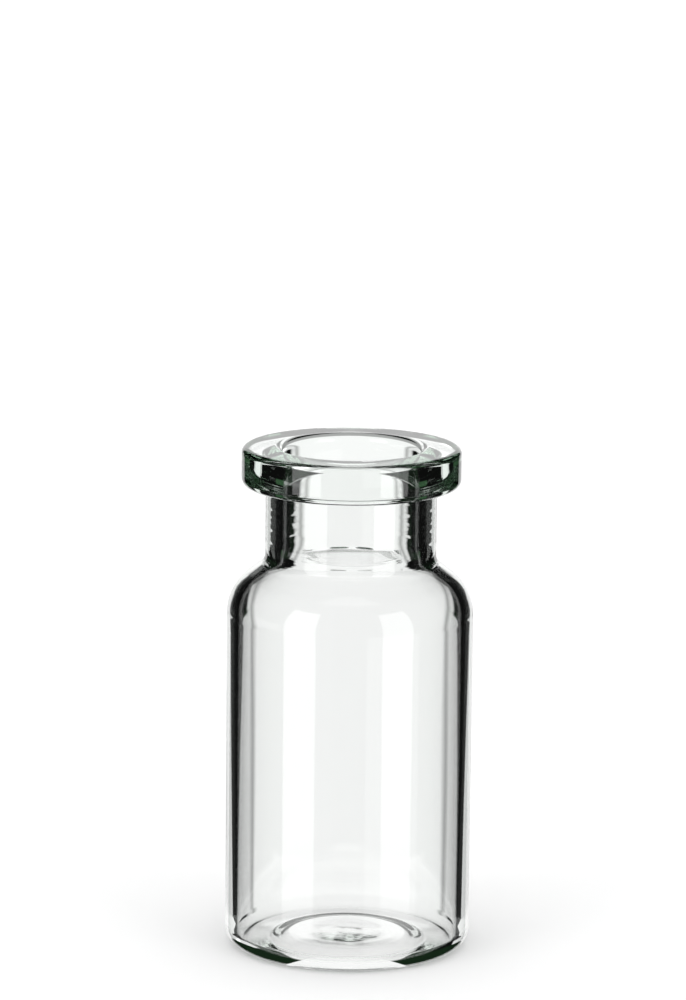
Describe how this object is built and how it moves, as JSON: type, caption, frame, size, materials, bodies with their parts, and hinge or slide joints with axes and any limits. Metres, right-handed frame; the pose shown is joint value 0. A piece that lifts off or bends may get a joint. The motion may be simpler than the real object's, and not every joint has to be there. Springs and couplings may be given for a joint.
{
  "type": "glass sample vial",
  "caption": "Clear glass sample vial: straight round body on a flat foot, sloped shoulder, short neck and a thick crimp lip around an open mouth.",
  "frame": {"origin": "centre of the foot, on the surface that the vial stands on", "axes": "+Z along the vial's axis, out of its mouth; X and Y are any two directions around it"},
  "size_m": [0.0226, 0.0226, 0.0465],
  "materials": {
    "clear_glass": "clear, smooth drawn tubing with a fire-polished lip"
  },
  "bodies": {
    "root": {"vial": "clear_glass"}
  },
  "joints": []
}
